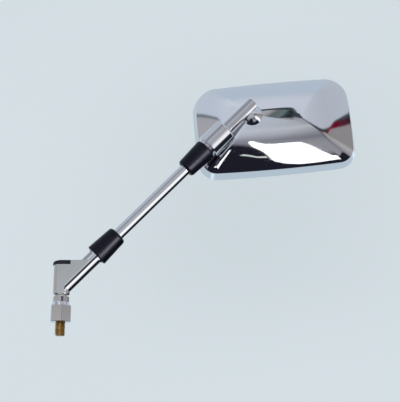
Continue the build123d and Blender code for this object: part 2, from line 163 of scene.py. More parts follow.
def moulded(name, dark, light, roughness, grain, gloss):
    # Moulded rubber, plastic or foam: a soft sheen, broken up by a fine grain and faint bloom.
    material, tree, shader, place = new_finish(name)
    bloom = add(tree, "ShaderNodeTexNoise", {"Vector": place, "Scale": 1 / (12 * MM), "Detail": 4.0})
    tint = stops(add(tree, "ShaderNodeValToRGB", {"Fac": bloom.outputs["Fac"]}), (0.3, dark), (0.75, light))
    # The grain is drawn about twice as coarse as the real one, so that it shows at all.
    skin = add(tree, "ShaderNodeTexNoise", {"Vector": place, "Scale": 1 / (grain * MM), "Detail": 2.0})
    bump = add(
        tree, "ShaderNodeBump", {"Height": skin.outputs["Fac"], "Strength": 0.35, "Distance": 0.05 * MM}
    )
    dull = add(
        tree,
        "ShaderNodeMapRange",
        {"Value": bloom.outputs["Fac"], "To Min": roughness - 0.06, "To Max": roughness + 0.08},
    )
    tree.links.new(tint, shader.inputs["Base Color"])
    tree.links.new(bump.outputs["Normal"], shader.inputs["Normal"])
    tree.links.new(dull.outputs["Result"], shader.inputs["Roughness"])
    shader.inputs["Specular IOR Level"].default_value = gloss
    return material


def silvered_glass():
    # Float glass silvered on its back: a clean, slightly green-blue mirror.
    material, tree, shader, place = new_finish("silvered_glass")
    dust = add(tree, "ShaderNodeTexNoise", {"Vector": place, "Scale": 1 / (20 * MM), "Detail": 5.0})
    haze = add(tree, "ShaderNodeMapRange", {"Value": dust.outputs["Fac"], "To Min": 0.0, "To Max": 0.03})
    tree.links.new(haze.outputs["Result"], shader.inputs["Roughness"])
    shader.inputs["Base Color"].default_value = colour("#DDE6E6")
    shader.inputs["Metallic"].default_value = 1.0
    shader.inputs["Coat Weight"].default_value = 0.4
    return material


def worked_metal(name, dark, light, roughness, spacing):
    # Bare worked metal: grey with a soft shine and small uneven marks.
    material, tree, shader, place = new_finish(name)
    marks = add(tree, "ShaderNodeTexNoise", {"Vector": place, "Scale": 1 / (spacing * MM), "Detail": 3.0})
    tint = stops(add(tree, "ShaderNodeValToRGB", {"Fac": marks.outputs["Fac"]}), (0.3, dark), (0.7, light))
    bump = add(
        tree, "ShaderNodeBump", {"Height": marks.outputs["Fac"], "Strength": 0.3, "Distance": 0.04 * MM}
    )
    dull = add(
        tree,
        "ShaderNodeMapRange",
        {"Value": marks.outputs["Fac"], "To Min": roughness - 0.08, "To Max": roughness + 0.08},
    )
    tree.links.new(tint, shader.inputs["Base Color"])
    tree.links.new(bump.outputs["Normal"], shader.inputs["Normal"])
    tree.links.new(dull.outputs["Result"], shader.inputs["Roughness"])
    shader.inputs["Metallic"].default_value = 1.0
    return material


FINISHES = {
    "chromed_steel": polished_chrome_plate(),
    "yellow_zinc_steel": yellow_zinc(),
    "bright_steel": worked_metal("bright_turned_steel", "#8C8E90", "#B2B4B6", 0.28, 0.8),
    "cast_aluminium": worked_metal("die_cast_aluminium", "#8A8C8E", "#A6A8AA", 0.45, 1.5),
    "black_rubber": moulded("moulded_black_rubber", "#0A0A16", "#10101E", 0.32, 0.7, 0.2),
    "black_plastic": moulded("grained_black_plastic", "#121318", "#1D1F25", 0.4, 0.5, 0.3),
    "nylon": moulded("natural_nylon", "#CFC8B4", "#DDD7C6", 0.45, 0.9, 0.5),
    "foam": moulded("black_cell_foam", "#101014", "#1C1C21", 0.85, 1.1, 0.2),
    "mirror_glass": silvered_glass(),
}


# Shapes: points closer than WELD are merged, or than SPIN_WELD on a turned shape
NEAR = 0.001
WELD = 0.002
SPIN_WELD = 0.0005
SHARP_ANGLE = 1.0


def piece(name, bm, place, slot, body, crease=35, edge=0.0):
    """Places a shape as a smooth piece that rides a body and replaces the CAD node of its name."""
    bmesh.ops.remove_doubles(bm, verts=bm.verts, dist=WELD)
    bmesh.ops.recalc_face_normals(bm, faces=bm.faces)
    bmesh.ops.transform(bm, matrix=Matrix.Scale(MM, 4) @ place, verts=bm.verts)
    mesh = bpy.data.meshes.new(name)
    bm.to_mesh(mesh)
    bm.free()
    mesh.shade_smooth()
    mesh.set_sharp_from_angle(angle=radians(crease))
    mesh.materials.append(FINISHES[slot])
    thing = bpy.data.objects.new(name, mesh)
    scene.collection.objects.link(thing)
    if edge:
        bevel = thing.modifiers.new("rounded_edges", "BEVEL")
        bevel.limit_method = "ANGLE"
        bevel.angle_limit = radians(crease)
        bevel.width = edge * MM
        bevel.segments = 3
    level = thing.modifiers.new("level_faces", "WEIGHTED_NORMAL")
    level.keep_sharp = not edge
    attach(thing, body)
    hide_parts(name)
    return thing


def spun(profile, rounds=(), steps=96):
    """A shape turned about Z from a closed loop of (radius, height) corners, with some corners rounded."""
    bm = bmesh.new()
    corners = [bm.verts.new((radius, 0, height)) for radius, height in profile]
    loop = [bm.edges.new(pair) for pair in zip(corners, corners[1:] + corners[:1])]
    bmesh.ops.spin(
        bm, geom=corners + loop, cent=(0, 0, 0), axis=(0, 0, 1), angle=tau, steps=steps, use_merge=True
    )
    bmesh.ops.remove_doubles(bm, verts=bm.verts, dist=SPIN_WELD)
    bmesh.ops.recalc_face_normals(bm, faces=bm.faces)
    for radius, height, size in rounds:
        ring = []
        for edge in bm.edges:
            if all(abs(v.co.xy.length - radius) < NEAR and abs(v.co.z - height) < NEAR for v in edge.verts):
                ring.append(edge)
        bmesh.ops.bevel(bm, geom=ring, offset=size, segments=4, profile=0.5, affect="EDGES", material=-1)
    return bm


def trim(bm, point, facing):
    """Cuts away what lies past a plane and closes the cut."""
    everything = bm.verts[:] + bm.edges[:] + bm.faces[:]
    bmesh.ops.bisect_plane(bm, geom=everything, plane_co=point, plane_no=facing, clear_outer=True)
    bmesh.ops.holes_fill(bm, edges=[edge for edge in bm.edges if edge.is_boundary])


def corners_of(geometry):
    """The vertices among what an operator gives back."""
    return [part for part in geometry if isinstance(part, bmesh.types.BMVert)]


def thicken(bm, vector):
    """Extrudes a flat face into a block."""
    grown = bmesh.ops.extrude_face_region(bm, geom=bm.faces[:], use_keep_orig=True)["geom"]
    bmesh.ops.translate(bm, vec=vector, verts=corners_of(grown))
    bmesh.ops.recalc_face_normals(bm, faces=bm.faces)


def temporary(bm):
    """An object that holds a shape until it is joined to others."""
    mesh = bpy.data.meshes.new("temporary")
    bm.to_mesh(mesh)
    bm.free()
    thing = bpy.data.objects.new("temporary", mesh)
    scene.collection.objects.link(thing)
    return thing


def combined(shape, *steps):
    """One closed shape, joined to, cut by or kept within other shapes, step by step."""
    first = temporary(shape)
    tools = [(operation, temporary(bm)) for operation, bm in steps]
    for operation, tool in tools:
        step = first.modifiers.new("step", "BOOLEAN")
        step.operation = operation
        step.solver = "EXACT"
        step.object = tool
    bm = bmesh.new()
    bm.from_object(first, bpy.context.evaluated_depsgraph_get())
    for thing in (first, *(tool for operation, tool in tools)):
        bpy.data.meshes.remove(thing.data)
    return bm


def join(bm, other):
    """Adds a second shape to the first."""
    mesh = bpy.data.meshes.new("joined")
    other.to_mesh(mesh)
    other.free()
    bm.from_mesh(mesh)
    bpy.data.meshes.remove(mesh)


def round_bar(radius, start, end):
    """A plain cylinder along Z between two heights."""
    return spun([(0, start), (radius, start), (radius, end), (0, end)])


# Mount: threaded stud, hex and collar
STUD_R = 5.0
STUD_LENGTH = 13.5
STUD_CHAMFER = 1.0
THREAD_PITCH = 1.25
THREAD_DEPTH = 0.75
THREAD_ROOT = 0.1
CREST_START = 0.45
CREST_END = 0.65
THREAD_STEPS = 48
SHANK_R = 4.5
SHANK_TOP = 12.0
PIN_R = 3.0
PIN_TOP = 51.1
HEX_FLATS = 19.0
HEX_HEIGHT = 16.0
HEX_TURN = radians(13)
HEX_EDGE = 0.45
CONE_BASE_R = 9.2
CONE_TOP = 19.4
COLLAR_R = 8.1
COLLAR_TOP = 25.0
COLLAR_SUNK = 0.1
COLLAR_EDGE = 0.6
CONE_EDGE = 0.5
RUNNING = 0.05


def mount_stud():
    bm = bmesh.new()
    corners = []
    root_r = STUD_R - THREAD_DEPTH
    tooth_z = -STUD_LENGTH - 2 * THREAD_PITCH
    while tooth_z < 2 * THREAD_PITCH:
        for radius, rise in ((root_r, THREAD_ROOT), (STUD_R, CREST_START), (STUD_R, CREST_END)):
            corners.append(bm.verts.new((radius, 0, tooth_z + rise * THREAD_PITCH)))
        tooth_z += THREAD_PITCH
    flanks = [bm.edges.new(pair) for pair in zip(corners, corners[1:])]
    bmesh.ops.spin(
        bm,
        geom=corners + flanks,
        cent=(0, 0, 0),
        axis=(0, 0, 1),
        dvec=(0, 0, THREAD_PITCH / THREAD_STEPS),
        angle=tau,
        steps=THREAD_STEPS,
    )
    bmesh.ops.remove_doubles(bm, verts=bm.verts, dist=WELD)
    for height, facing in ((-STUD_LENGTH, -1), (0, 1)):
        trim(bm, (0, 0, height), (0, 0, facing))
    for vert in bm.verts:
        limit = STUD_R - STUD_CHAMFER + vert.co.z + STUD_LENGTH
        if vert.co.xy.length > limit:
            vert.co.xy *= limit / vert.co.xy.length
    pin = [(0, 0), (SHANK_R, 0), (SHANK_R, SHANK_TOP), (PIN_R, SHANK_TOP), (PIN_R, PIN_TOP), (0, PIN_TOP)]
    join(bm, spun(pin))
    return bm


def hex_adapter():
    bm = bmesh.new()
    corner_r = HEX_FLATS / 2 / cos(radians(30))
    place = Matrix.Translation((0, 0, HEX_HEIGHT / 2)) @ Matrix.Rotation(HEX_TURN, 4, "Z")
    bmesh.ops.create_cone(
        bm, cap_ends=True, segments=6, radius1=corner_r, radius2=corner_r, depth=HEX_HEIGHT, matrix=place
    )
    bmesh.ops.bevel(bm, geom=bm.edges, offset=HEX_EDGE, segments=3, profile=0.5, affect="EDGES", material=-1)
    bore_r = PIN_R + RUNNING
    collar_foot = HEX_HEIGHT - COLLAR_SUNK
    collar = [
        (bore_r, collar_foot),
        (CONE_BASE_R, collar_foot),
        (COLLAR_R, CONE_TOP),
        (COLLAR_R, COLLAR_TOP),
        (bore_r, COLLAR_TOP),
    ]
    join(bm, spun(collar, [(COLLAR_R, COLLAR_TOP, COLLAR_EDGE), (COLLAR_R, CONE_TOP, CONE_EDGE)]))
    return bm


stud_piece = piece("mount_stud", mount_stud(), STUD_PLACE, "yellow_zinc_steel", "mount")
piece("hex_adapter", hex_adapter(), STUD_PLACE, "chromed_steel", "mount")

# Base: post, web and tube cast in one, and the cap
POST_R = 8.4
POST_BOTTOM = 26.0
POST_EDGE = 2.4
SWIVEL_FLOOR = 41.0
COUNTERBORE_R = 6.5
CASTING_TOP = 60.6
CAP_SEAT = 56.4
CAP_R = 9.2
CAP_END_X = 9.0
CAP_ROUND = 3.0
SPIGOT_R = 6.45
SPIGOT_BORE_R = 5.25
SPIGOT_BOTTOM = 52.4
SEAT_GAP = 0.1
TUBE_R = 7.5
TUBE_END_S = 46.0
FLANGE_R = 8.6
FLANGE_END_S = 49.5
ROD_THREAD_R = 4.0
ROD_START_S = 25.6
CUT_PAST = 1.0


def base_casting():
    post = spun(
        [(0, POST_BOTTOM), (POST_R, POST_BOTTOM), (POST_R, CAP_SEAT), (0, CAP_SEAT)],
        [(POST_R, POST_BOTTOM, POST_EDGE)],
    )
    for side in (-1, 1):
        trim(post, (0, side * TUBE_R, 0), (0, side, 0))
    top_x = (CASTING_TOP - ARM_ROOT.z) / ARM_ALONG.z * ARM_ALONG.x
    step_x = CAP_END_X + SEAT_GAP
    outline = [
        (0, ARM_ROOT.z),
        (top_x, CASTING_TOP),
        (step_x, CASTING_TOP),
        (step_x, CAP_SEAT),
        (0, CAP_SEAT),
    ]
    web = bmesh.new()
    web.faces.new([web.verts.new((x, -TUBE_R, z)) for x, z in outline])
    thicken(web, (0, 2 * TUBE_R, 0))
    tube = spun(
        [
            (0, 0),
            (TUBE_R, 0),
            (TUBE_R, TUBE_END_S),
            (FLANGE_R, TUBE_END_S),
            (FLANGE_R, FLANGE_END_S),
            (0, FLANGE_END_S),
        ]
    )
    socket = round_bar(ROD_THREAD_R + RUNNING, ROD_START_S - SEAT_GAP, FLANGE_END_S + CUT_PAST)
    for bm in (tube, socket):
        bmesh.ops.transform(bm, matrix=ARM_PLACE, verts=bm.verts)
    pin_hole = round_bar(PIN_R + RUNNING, POST_BOTTOM - CUT_PAST, CASTING_TOP)
    counterbore = round_bar(COUNTERBORE_R, SWIVEL_FLOOR, CASTING_TOP)
    return combined(
        post,
        ("UNION", web),
        ("UNION", tube),
        ("DIFFERENCE", pin_hole),
        ("DIFFERENCE", counterbore),
        ("DIFFERENCE", socket),
    )


def base_cap():
    bm = bmesh.new()
    bmesh.ops.create_circle(bm, cap_ends=True, segments=96, radius=CAP_R)
    for point, facing in (
        ((0, -TUBE_R, 0), (0, -1, 0)),
        ((0, TUBE_R, 0), (0, 1, 0)),
        ((0, 0, 0), (1, 0, 0)),
    ):
        everything = bm.verts[:] + bm.edges[:] + bm.faces[:]
        bmesh.ops.bisect_plane(bm, geom=everything, plane_co=point, plane_no=facing, clear_outer=True)
    end = [edge for edge in bm.edges if all(abs(vert.co.x) < NEAR for vert in edge.verts)]
    grown = bmesh.ops.extrude_edge_only(bm, edges=end)["geom"]
    bmesh.ops.translate(bm, vec=(CAP_END_X, 0, 0), verts=corners_of(grown))
    bmesh.ops.dissolve_edges(bm, edges=end)
    bmesh.ops.translate(bm, vec=(0, 0, CAP_SEAT), verts=bm.verts)
    thicken(bm, (0, 0, CASTING_TOP - CAP_SEAT))
    crown = []
    for edge in bm.edges:
        high = all(abs(v.co.z - CASTING_TOP) < NEAR for v in edge.verts)
        if high and all(abs(v.co.xy.length - CAP_R) < 10 * NEAR for v in edge.verts):
            crown.append(edge)
    bmesh.ops.bevel(bm, geom=crown, offset=CAP_ROUND, segments=6, profile=0.5, affect="EDGES", material=-1)
    spigot = [
        (SPIGOT_BORE_R, SPIGOT_BOTTOM),
        (SPIGOT_R, SPIGOT_BOTTOM),
        (SPIGOT_R, CAP_SEAT),
        (SPIGOT_BORE_R, CAP_SEAT),
    ]
    join(bm, spun(spigot))
    return bm


base_piece = piece("base_casting", base_casting(), STUD_PLACE, "chromed_steel", "base", crease=28, edge=0.4)
piece("base_cap", base_cap(), STUD_PLACE, "black_plastic", "base", crease=28, edge=0.3)

# Arm: rod and boots
ROD_R = 6.0
ROD_BODY_S = 58.05
ROD_NECK_R = 3.2
ROD_NECK_S = 197.0
ROD_TAPER = 4.0
ROD_EDGE = 0.6
BALL_R = 6.5
BOOT_LENGTH = 30.6
BOOT_WIDE_R = 11.6
BOOT_NARROW_R = 9.8
BOOT_BORE_R = 8.65
BOOT_CAVITY_R = 8.0
BOOT_CAVITY_END = 26.1
BOOT_CUFF = 4.0
BOOT_WIDE_ROUND = 1.4
BOOT_NARROW_ROUND = 2.6
BOOT_LIP_ROUND = 0.4
BOOT_MOUTH_ROUND = 0.5
LOWER_BOOT_S = 47.55
UPPER_BOOT_S = 204.35


def arm_rod():
    bm = spun(
        [
            (0, ROD_START_S),
            (ROD_THREAD_R, ROD_START_S),
            (ROD_THREAD_R, ROD_BODY_S),
            (ROD_R, ROD_BODY_S),
            (ROD_R, ROD_NECK_S - ROD_TAPER),
            (ROD_NECK_R, ROD_NECK_S),
            (ROD_NECK_R, BALL_S),
            (0, BALL_S),
        ],
        [(ROD_R, ROD_BODY_S, ROD_EDGE)],
    )
    ball = bmesh.new()
    place = Matrix.Translation((0, 0, BALL_S))
    bmesh.ops.create_uvsphere(ball, u_segments=32, v_segments=24, radius=BALL_R, matrix=place)
    join(bm, ball)
    return bm


def boot():
    """A rubber boot, its wide end at zero and its narrow end up the rod."""
    mouth_r = ROD_R + RUNNING
    return spun(
        [
            (BOOT_BORE_R, 0),
            (BOOT_WIDE_R, 0),
            (BOOT_NARROW_R, BOOT_LENGTH),
            (mouth_r, BOOT_LENGTH),
            (mouth_r, BOOT_CAVITY_END),
            (BOOT_CAVITY_R, BOOT_CAVITY_END),
            (BOOT_BORE_R, BOOT_CUFF),
        ],
        [
            (BOOT_WIDE_R, 0, BOOT_WIDE_ROUND),
            (BOOT_NARROW_R, BOOT_LENGTH, BOOT_NARROW_ROUND),
            (BOOT_BORE_R, 0, BOOT_LIP_ROUND),
            (mouth_r, BOOT_LENGTH, BOOT_MOUTH_ROUND),
        ],
    )


lower_place = ARM_PLACE @ Matrix.Translation((0, 0, LOWER_BOOT_S))
upper_place = ARM_PLACE @ Matrix.Translation((0, 0, UPPER_BOOT_S)) @ Matrix.Rotation(radians(180), 4, "X")
rod_piece = piece("arm_rod", arm_rod(), ARM_PLACE, "chromed_steel", "arm")
lower_boot = piece("lower_boot", boot(), lower_place, "black_rubber", "arm")
upper_boot = piece("upper_boot", boot(), upper_place, "black_rubber", "arm")

# Head outline: a rectangle with bowed edges and rounded corners
RIM_HALF = (85.0, 52.0)
EDGE_BOW = 2.0
CORNER_TOP_R = 24.0
CORNER_BOTTOM_R = 18.0
SKIRT_DEPTH = 13.0
SKIRT_FLARE = 3.5
DOME_RISE = 22.0
DOME_POWER = 2.2
RIDGE_HALF = 24.0
HIP_POWER = 2.0
SHELL_WALL = 1.0
RIM_LIP = 0.6
SHOULDER = 1.0
SHOULDER_ROUND = 0.8
STRAIGHT_LENGTH = 20.0
RING_WELD = 0.02
CORNER_SEGMENTS = 16
LONG_CUTS = 56
SHORT_CUTS = 32
DOME_RINGS = 36
RIDGE_LEFT = 0.0001
ON_SIDE = 0
ON_END = 1
ON_CORNER = 2


def rim_loop(height, inset):
    """The rim's outline as a face, each corner of it marked with its share of the outline."""
    bm = bmesh.new()
    bmesh.ops.create_grid(bm, x_segments=1, y_segments=1, size=1.0)
    half = [side - EDGE_BOW for side in RIM_HALF]
    bmesh.ops.scale(bm, vec=(*half, 1), verts=bm.verts)
    for side, radius in ((1, CORNER_TOP_R), (-1, CORNER_BOTTOM_R)):
        ends = [v for v in bm.verts if v.co.y * side > half[1] - NEAR]
        bmesh.ops.bevel(
            bm,
            geom=ends,
            offset=radius,
            offset_type="OFFSET",
            segments=CORNER_SEGMENTS,
            profile=0.5,
            affect="VERTICES",
            material=-1,
        )
    for edge in [e for e in bm.edges if e.calc_length() > STRAIGHT_LENGTH]:
        level = abs(edge.verts[0].co.y - edge.verts[1].co.y) < 1
        bmesh.ops.subdivide_edges(bm, edges=[edge], cuts=LONG_CUTS if level else SHORT_CUTS)
    share = bm.verts.layers.float_vector.new("share")
    for vert in bm.verts:
        radius = CORNER_TOP_R if vert.co.y > 0 else CORNER_BOTTOM_R
        inner_x = half[0] - radius
        inner_y = half[1] - radius
        x, y = vert.co.xy
        if abs(x) > inner_x + NEAR and abs(y) > inner_y + NEAR:
            angle = atan2(abs(y) - inner_y, abs(x) - inner_x)
            vert[share] = (cos(angle) * (1 if x > 0 else -1), sin(angle) * (1 if y > 0 else -1), ON_CORNER)
        elif abs(x) > inner_x + NEAR:
            vert[share] = (1 if x > 0 else -1, y / inner_y, ON_SIDE)
        else:
            vert[share] = (x / inner_x, 1 if y > 0 else -1, ON_END)
    fit_outline(bm, bm.verts, height, *rim_sizes(height, inset))
    return bm


def rim_sizes(height, inset):
    """The skirt's half sizes and corner radii at a depth behind the rim, taken in by an inset."""
    shrink = SKIRT_FLARE * height / SKIRT_DEPTH + inset
    half_w, half_h = (half - shrink for half in RIM_HALF)
    return half_w, half_h, CORNER_TOP_R - shrink, CORNER_BOTTOM_R - shrink, EDGE_BOW


def dome_sizes(left):
    """The dome's half sizes and corner radii where a share of the way to the ridge is left."""
    half_w = RIDGE_HALF + (RIM_HALF[0] - SKIRT_FLARE - RIDGE_HALF) * left
    half_h = (RIM_HALF[1] - SKIRT_FLARE) * left
    top_r = (CORNER_TOP_R - SKIRT_FLARE) * left
    bottom_r = (CORNER_BOTTOM_R - SKIRT_FLARE) * left**HIP_POWER
    return half_w, half_h, top_r, bottom_r, EDGE_BOW * left


def fit_outline(bm, verts, height, half_w, half_h, top_r, bottom_r, bow):
    """Moves marked vertices onto the outline of the given sizes."""
    share = bm.verts.layers.float_vector["share"]
    w = half_w - bow
    h = half_h - bow
    for vert in verts:
        across, up, kind = vert[share]
        radius = top_r if up > 0 else bottom_r
        if round(kind) == ON_CORNER:
            x = (w - radius) * (1 if across > 0 else -1) + radius * across
            y = (h - radius) * (1 if up > 0 else -1) + radius * up
        elif round(kind) == ON_END:
            x = (w - radius) * across
            y = h * up
        else:
            x = w * across
            y = (h - radius) * up
        bowed_x = x * (1 + bow / w * (1 - (y / h) ** 2))
        bowed_y = y * (1 + bow / h * (1 - (x / w) ** 2))
        vert.co = (bowed_x, bowed_y, height)


def next_ring(bm, loop, height, *sizes):
    """Extrudes the open loop to the next outline."""
    grown = bmesh.ops.extrude_edge_only(bm, edges=loop)["geom"]
    fit_outline(bm, corners_of(grown), height, *sizes)
    return [g for g in grown if isinstance(g, bmesh.types.BMEdge)]


def head_form():
    """The head's outer form: skirt and dome, open at the rim."""
    bm = rim_loop(0, 0)
    bmesh.ops.delete(bm, geom=bm.faces[:], context="FACES_ONLY")
    loop = bm.edges[:]
    for height in (RIM_LIP, SKIRT_DEPTH / 2, SKIRT_DEPTH - SHOULDER, SKIRT_DEPTH):
        loop = next_ring(bm, loop, height, *rim_sizes(height, 0))
    edge_ring = loop
    for ring in range(1, DOME_RINGS + 1):
        left = max(1 - ring / DOME_RINGS, RIDGE_LEFT)
        height = SKIRT_DEPTH + DOME_RISE * (1 - left**DOME_POWER)
        loop = next_ring(bm, loop, height, *dome_sizes(left))
    bmesh.ops.remove_doubles(bm, verts=bm.verts, dist=RING_WELD)
    edge_ring = [edge for edge in edge_ring if edge.is_valid]
    bmesh.ops.bevel(
        bm, geom=edge_ring, offset=SHOULDER_ROUND, segments=3, profile=0.5, affect="EDGES", material=-1
    )
    bmesh.ops.recalc_face_normals(bm, faces=bm.faces)
    return bm


def shell():
    bm = head_form()
    bmesh.ops.solidify(bm, geom=bm.faces[:], thickness=SHELL_WALL)
    for vert in bm.verts:
        vert.co.z = max(vert.co.z, 0)
    return bm


shell_piece = piece("shell", shell(), HEAD_PLACE, "chromed_steel", "head", crease=60, edge=0.3)

# Gland nut, and the neck that is hollowed to sit on the dome
NECK_MOUTH_S = 207.0
NECK_BORE_R = 9.6
BORE_FLOOR_S = 223.7
BARREL_R = 12.8
BARREL_END_S = 233.5
BARREL_MOUTH_EDGE = 0.6
BARREL_END_ROUND = 1.6
FINGER_END_S = 275.0
FINGER_HALF_W = 6.3
FINGER_FRONT = 6.2
FINGER_BACK = 9.0
FINGER_CROWN_R = 13.0
FINGER_EDGE_ROUND = 1.8
FINGER_TIP_ROUND = 4.5
FINGER_NOSE_ROUND = 3.0
CROWN_CUTS = 14
HEEL = (7.5, 11.0, 265.0)
HEEL_R = 13.5
GLAND_FLANGE_R = 10.6
GLAND_FACE_S = 204.4
GLAND_GROOVE_S = 205.8
GLAND_NOSE_S = 201.4
GLAND_END_S = 209.45
GLAND_MOUTH_R = 7.2
GLAND_THROAT_R = 5.2
GLAND_EDGE = 0.4
GROOVE_EDGE = 0.3


def gland_nut():
    thread_r = NECK_BORE_R - RUNNING
    return spun(
        [
            (GLAND_MOUTH_R, GLAND_NOSE_S),
            (FLANGE_R, GLAND_NOSE_S),
            (FLANGE_R, GLAND_FACE_S),
            (GLAND_FLANGE_R, GLAND_FACE_S),
            (GLAND_FLANGE_R, GLAND_GROOVE_S),
            (thread_r, GLAND_GROOVE_S),
            (thread_r, GLAND_END_S),
            (GLAND_THROAT_R, GLAND_END_S),
        ],
        [(GLAND_FLANGE_R, GLAND_FACE_S, GLAND_EDGE), (GLAND_FLANGE_R, GLAND_GROOVE_S, GROOVE_EDGE)],
    )


def finger():
    """A flat-sided bar along the arm's Z, its front bent to a crown."""
    bm = bmesh.new()
    bmesh.ops.create_grid(bm, x_segments=1, y_segments=1, size=1.0)
    bmesh.ops.scale(bm, vec=(FINGER_HALF_W, (FINGER_FRONT + FINGER_BACK) / 2, 1), verts=bm.verts)
    bmesh.ops.translate(bm, vec=(0, (FINGER_BACK - FINGER_FRONT) / 2, BORE_FLOOR_S), verts=bm.verts)
    front = [vert for vert in bm.verts if vert.co.y < 0]
    bmesh.ops.bevel(
        bm, geom=front, offset=FINGER_EDGE_ROUND, segments=6, profile=0.5, affect="VERTICES", material=-1
    )
    crown = [edge for edge in bm.edges if all(vert.co.y < NEAR - FINGER_FRONT for vert in edge.verts)]
    bmesh.ops.subdivide_edges(bm, edges=crown, cuts=CROWN_CUTS)
    for vert in bm.verts:
        if vert.co.y < 0:
            vert.co.y += FINGER_CROWN_R - (FINGER_CROWN_R**2 - vert.co.x**2) ** 0.5
    thicken(bm, (0, 0, FINGER_END_S - BORE_FLOOR_S))
    return bm


def finger_limit():
    """The block that gives the finger's tip its rounded outline and nose."""
    bm = bmesh.new()
    length = FINGER_END_S - BORE_FLOOR_S
    depth = FINGER_FRONT + FINGER_BACK
    place = Matrix.Translation((0, (FINGER_BACK - FINGER_FRONT) / 2, BORE_FLOOR_S + length / 2))
    sides = Matrix.Diagonal((2 * FINGER_HALF_W, depth, length, 1))
    bmesh.ops.create_cube(bm, size=1.0, matrix=place @ sides)
    for size, across in ((FINGER_TIP_ROUND, 1), (FINGER_NOSE_ROUND, 0)):
        tip = []
        for edge in bm.edges:
            ends = [vert.co for vert in edge.verts]
            level = min(end.z for end in ends) > FINGER_END_S - NEAR
            long = abs(ends[0][across] - ends[1][across]) > FINGER_HALF_W
            front = min(end.y for end in ends) < 0
            if level and long and front:
                tip.append(edge)
        bmesh.ops.bevel(bm, geom=tip, offset=size, segments=8, profile=0.5, affect="EDGES", material=-1)
    return bm


def heel():
    """The round heel beside the finger's tip, where the neck meets the end of the ridge."""
    bm = bmesh.new()
    place = Matrix.Translation(HEEL)
    bmesh.ops.create_uvsphere(bm, u_segments=72, v_segments=48, radius=HEEL_R, matrix=place)
    return bm


def neck_socket():
    barrel = spun(
        [
            (NECK_BORE_R, NECK_MOUTH_S),
            (BARREL_R, NECK_MOUTH_S),
            (BARREL_R, BARREL_END_S),
            (0, BARREL_END_S),
            (0, BORE_FLOOR_S),
            (NECK_BORE_R, BORE_FLOOR_S),
        ],
        [(BARREL_R, NECK_MOUTH_S, BARREL_MOUTH_EDGE), (BARREL_R, BARREL_END_S, BARREL_END_ROUND)],
    )
    bar = combined(finger(), ("INTERSECT", finger_limit()))
    foot = heel()
    for bm in (barrel, bar, foot):
        bmesh.ops.transform(bm, matrix=ARM_PLACE, verts=bm.verts)
    dome = head_form()
    bmesh.ops.holes_fill(dome, edges=[edge for edge in dome.edges if edge.is_boundary])
    bmesh.ops.transform(dome, matrix=HEAD_PLACE, verts=dome.verts)
    return combined(barrel, ("UNION", bar), ("UNION", foot), ("DIFFERENCE", dome))


gland_piece = piece("gland_nut", gland_nut(), ARM_PLACE, "chromed_steel", "head")
neck_piece = piece("neck_socket", neck_socket(), STUD_PLACE, "chromed_steel", "head")

# Glass in its gasket
GASKET_BACK = 5.6
GASKET_OVERLAP = 1.9
GASKET_WALL = 2.0
GLASS_FRONT = 1.65
GLASS_BACK = 4.15
GLASS_EDGE = 0.4
GASKET_EDGE = 0.25
GLASS_INSET = SKIRT_FLARE * GASKET_BACK / SKIRT_DEPTH + SHELL_WALL + SEAT_GAP + GASKET_WALL


def glass():
    bm = rim_loop(0, GLASS_INSET)
    bmesh.ops.translate(bm, vec=(0, 0, GLASS_FRONT), verts=bm.verts)
    thicken(bm, (0, 0, GLASS_BACK - GLASS_FRONT))
    edges = [e for e in bm.edges if len(e.link_faces) == 2 and e.calc_face_angle() > SHARP_ANGLE]
    bmesh.ops.bevel(bm, geom=edges, offset=GLASS_EDGE, segments=2, profile=0.5, affect="EDGES", material=-1)
    return bm


def glass_gasket():
    bm = rim_loop(RIM_LIP, SHELL_WALL + SEAT_GAP)
    bmesh.ops.delete(bm, geom=bm.faces[:], context="FACES_ONLY")
    first = bm.edges[:]
    loop = first
    opening = GLASS_INSET + GASKET_OVERLAP
    outer_back = SHELL_WALL + SEAT_GAP + SKIRT_FLARE * GASKET_BACK / SKIRT_DEPTH
    for height, inset in (
        (RIM_LIP, opening),
        (GLASS_FRONT - RUNNING, opening),
        (GLASS_FRONT - RUNNING, GLASS_INSET - RUNNING),
        (GLASS_BACK + RUNNING, GLASS_INSET - RUNNING),
        (GLASS_BACK + RUNNING, opening),
        (GASKET_BACK, opening),
        (GASKET_BACK, outer_back),
    ):
        loop = next_ring(bm, loop, height, *rim_sizes(0, inset))
    bmesh.ops.bridge_loops(bm, edges=loop + first)
    edges = [e for e in bm.edges if len(e.link_faces) == 2 and e.calc_face_angle() > SHARP_ANGLE]
    bmesh.ops.bevel(bm, geom=edges, offset=GASKET_EDGE, segments=2, profile=0.5, affect="EDGES", material=-1)
    return bm


piece("glass", glass(), HEAD_PLACE, "mirror_glass", "head")
piece("glass_gasket", glass_gasket(), HEAD_PLACE, "black_rubber", "head")

# The hidden pieces keep their CAD solids and get their finishes
for subpart in frame["record"]["subparts"]:
    for slot in frame["nodes"][subpart["node"]].material_slots:
        slot.material = FINISHES[subpart["material_slot"]]

# The upper boot is taken off the arm and its place is baked into its mesh
upper_boot.parent = None
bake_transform(upper_boot)


